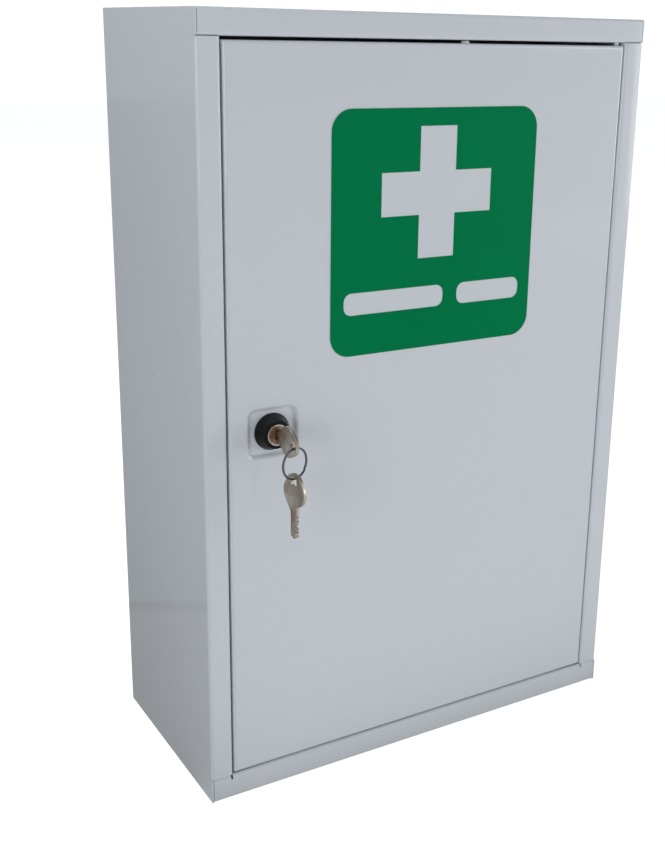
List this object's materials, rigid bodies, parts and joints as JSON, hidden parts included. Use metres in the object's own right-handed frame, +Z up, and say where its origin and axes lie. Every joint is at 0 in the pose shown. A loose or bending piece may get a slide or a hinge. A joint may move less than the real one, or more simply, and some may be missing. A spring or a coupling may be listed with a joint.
{
  "type": "lockable medicine cabinet",
  "caption": "Wall cabinet of folded steel sheet with one pin-hinged door, a key-operated cam lock, a key ring with a spare key, two fixed shelves and a green cross sign.",
  "frame": {"origin": "middle of the base's underside", "axes": "+Z up, the door faces -Y, +Y is the back that lies on the wall, +X is the hinge side"},
  "size_m": [0.3, 0.1759, 0.46],
  "materials": {
    "white_paint": "satin powder coat",
    "white_plastic": "matt",
    "white_vinyl": "gloss film",
    "green_vinyl": "gloss film",
    "black_plastic": "semi-gloss",
    "nickel": "nickel plate",
    "key_nickel": "worn nickel plate",
    "zinc_steel": "zinc plate",
    "brass": "plain"
  },
  "bodies": {
    "case": {"case_wrap": "white_paint", "top_panel": "white_paint", "bottom_panel": "white_paint", "upper_shelf": "white_paint", "lower_shelf": "white_paint", "upper_hinge_plate": "white_paint", "lower_hinge_plate": "white_paint", "upper_hinge_pin": "white_paint", "lower_hinge_pin": "white_paint"},
    "door": {"door_panel": "white_paint", "upper_door_plate": "white_paint", "lower_door_plate": "white_paint", "door_buffer": "white_plastic", "sign_backing": "white_vinyl", "sign_film": "green_vinyl", "lock_bezel": "black_plastic", "lock_housing": "nickel", "lock_washer": "zinc_steel", "lock_nut": "zinc_steel"},
    "plug": {"lock_plug": "nickel", "lock_wafers": "brass", "wafer_springs": "zinc_steel", "lock_cam": "zinc_steel", "cam_washer": "zinc_steel", "cam_screw": "zinc_steel"},
    "key_in_lock": {"key": "key_nickel"},
    "ring": {"key_ring": "zinc_steel"},
    "spare": {"spare_key": "key_nickel"}
  },
  "joints": [
    {"name": "door_hinge", "type": "hinge", "parent": "case", "child": "door", "pos_m": [0.1314, -0.066, 0.23], "axis": [0, 0, 1], "range_deg": [0, 105]},
    {"name": "plug_turn", "type": "hinge", "parent": "door", "child": "plug", "pos_m": [-0.108, -0.0678, 0.2304], "axis": [0, 1, 0], "range_deg": [0, 90]},
    {"name": "key_slide", "type": "slide", "parent": "plug", "child": "key_in_lock", "axis": [0, -1, 0], "range_m": [0, 0.028]},
    {"name": "ring_swing", "type": "hinge", "parent": "key_in_lock", "child": "ring", "pos_m": [-0.108, -0.0969, 0.2289], "axis": [1, 0, 0], "range_deg": [-40, 15]},
    {"name": "spare_swing", "type": "hinge", "parent": "ring", "child": "spare", "pos_m": [-0.108, -0.0969, 0.2113], "axis": [0.9613, 0.2756, 0], "range_deg": [-40, 10]}
  ]
}
